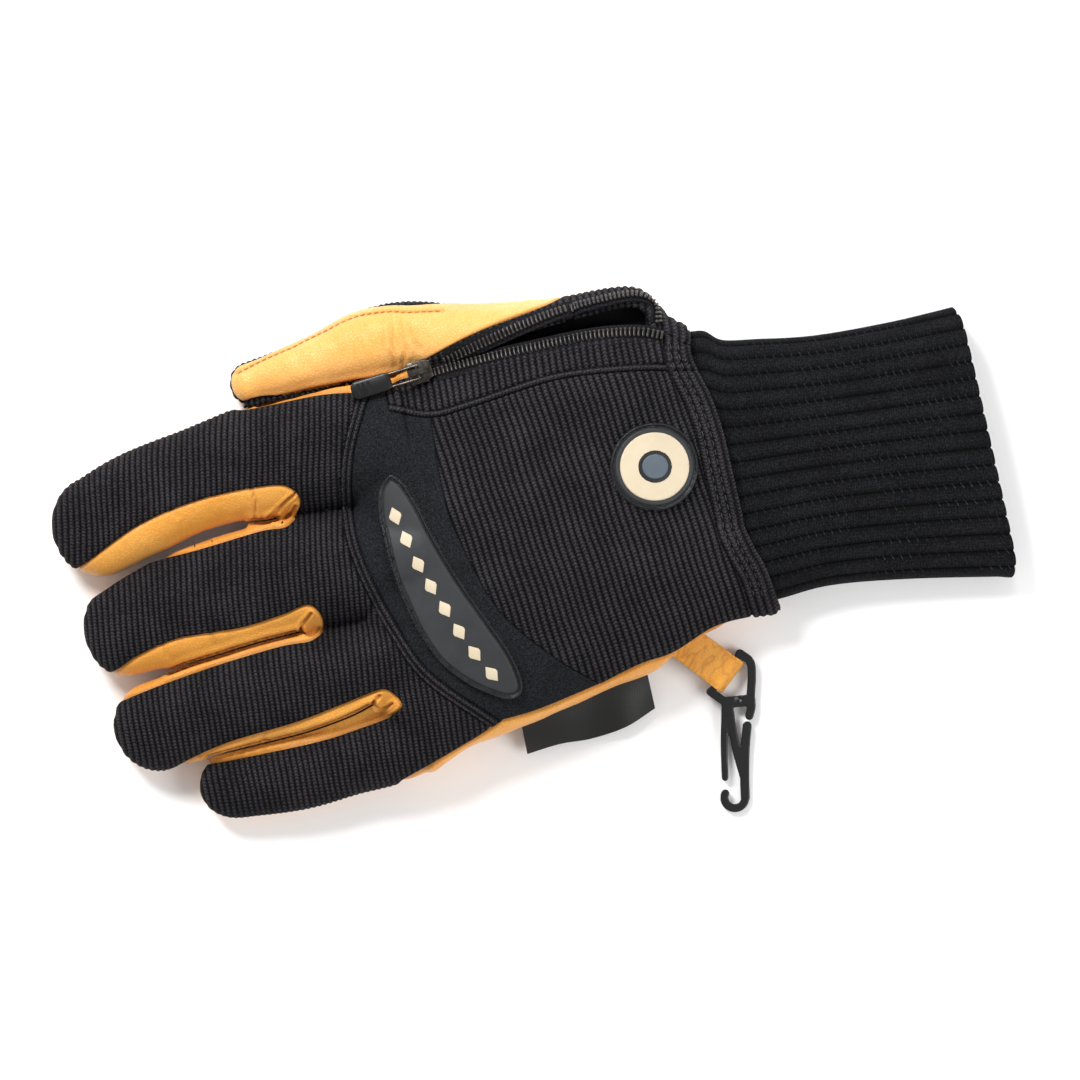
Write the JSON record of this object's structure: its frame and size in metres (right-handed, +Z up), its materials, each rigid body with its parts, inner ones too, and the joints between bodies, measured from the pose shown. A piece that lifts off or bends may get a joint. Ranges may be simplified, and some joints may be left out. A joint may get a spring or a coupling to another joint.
{
  "type": "winter glove",
  "caption": "Left-hand winter work glove in tan leather and black rib knit, with a zipped back pocket, long rib cuff, hang loop and plastic hook.",
  "frame": {"origin": "centre of the footprint, on the surface that the glove lies on", "axes": "+X towards the cuff, fingertips at -X; +Y towards the thumb; +Z up out of the back of the hand"},
  "size_m": [0.2704, 0.1476, 0.033],
  "materials": {
    "tan_leather": "soft golden tan deerskin, fine grain",
    "rib_knit": "black rib knit, matt",
    "cuff_knit": "black stretch rib knit, matt",
    "neoprene": "blue-black laminated stretch cloth, fine matt grain",
    "pocket_cloth": "thin black woven lining, slight sheen",
    "zip_coil": "dark bronze-black nylon coil",
    "zip_metal": "dark gunmetal",
    "badge_rubber": "moulded dark grey rubber, matt",
    "satin": "black satin ribbon",
    "black_plastic": "black moulded plastic, satin"
  },
  "bodies": {
    "glove": {"palm_leather": "tan_leather", "thumb_leather": "tan_leather", "hang_loop": "tan_leather", "finger_back_knit": "rib_knit", "hand_back_knit": "rib_knit", "pocket_front_knit": "rib_knit", "pocket_rear_knit": "rib_knit", "thumb_back_knit": "rib_knit", "cuff": "cuff_knit", "knuckle_band": "neoprene", "pocket_bag": "pocket_cloth", "zip_teeth_front": "zip_coil", "zip_teeth_rear": "zip_coil", "zip_slider": "zip_metal", "knuckle_badge": "badge_rubber", "wrist_badge": "badge_rubber", "side_label": "satin", "glove_hook": "black_plastic"},
    "zip_pull": {"zip_link": "zip_metal", "zip_pull_grip": "black_plastic"}
  },
  "joints": [
    {"name": "zip_pull_flip", "type": "hinge", "parent": "glove", "child": "zip_pull", "pos_m": [-0.03294, 0.05054, 0.0259], "axis": [-0.2924, 0.9563, 0], "range_deg": [0, 160]}
  ]
}
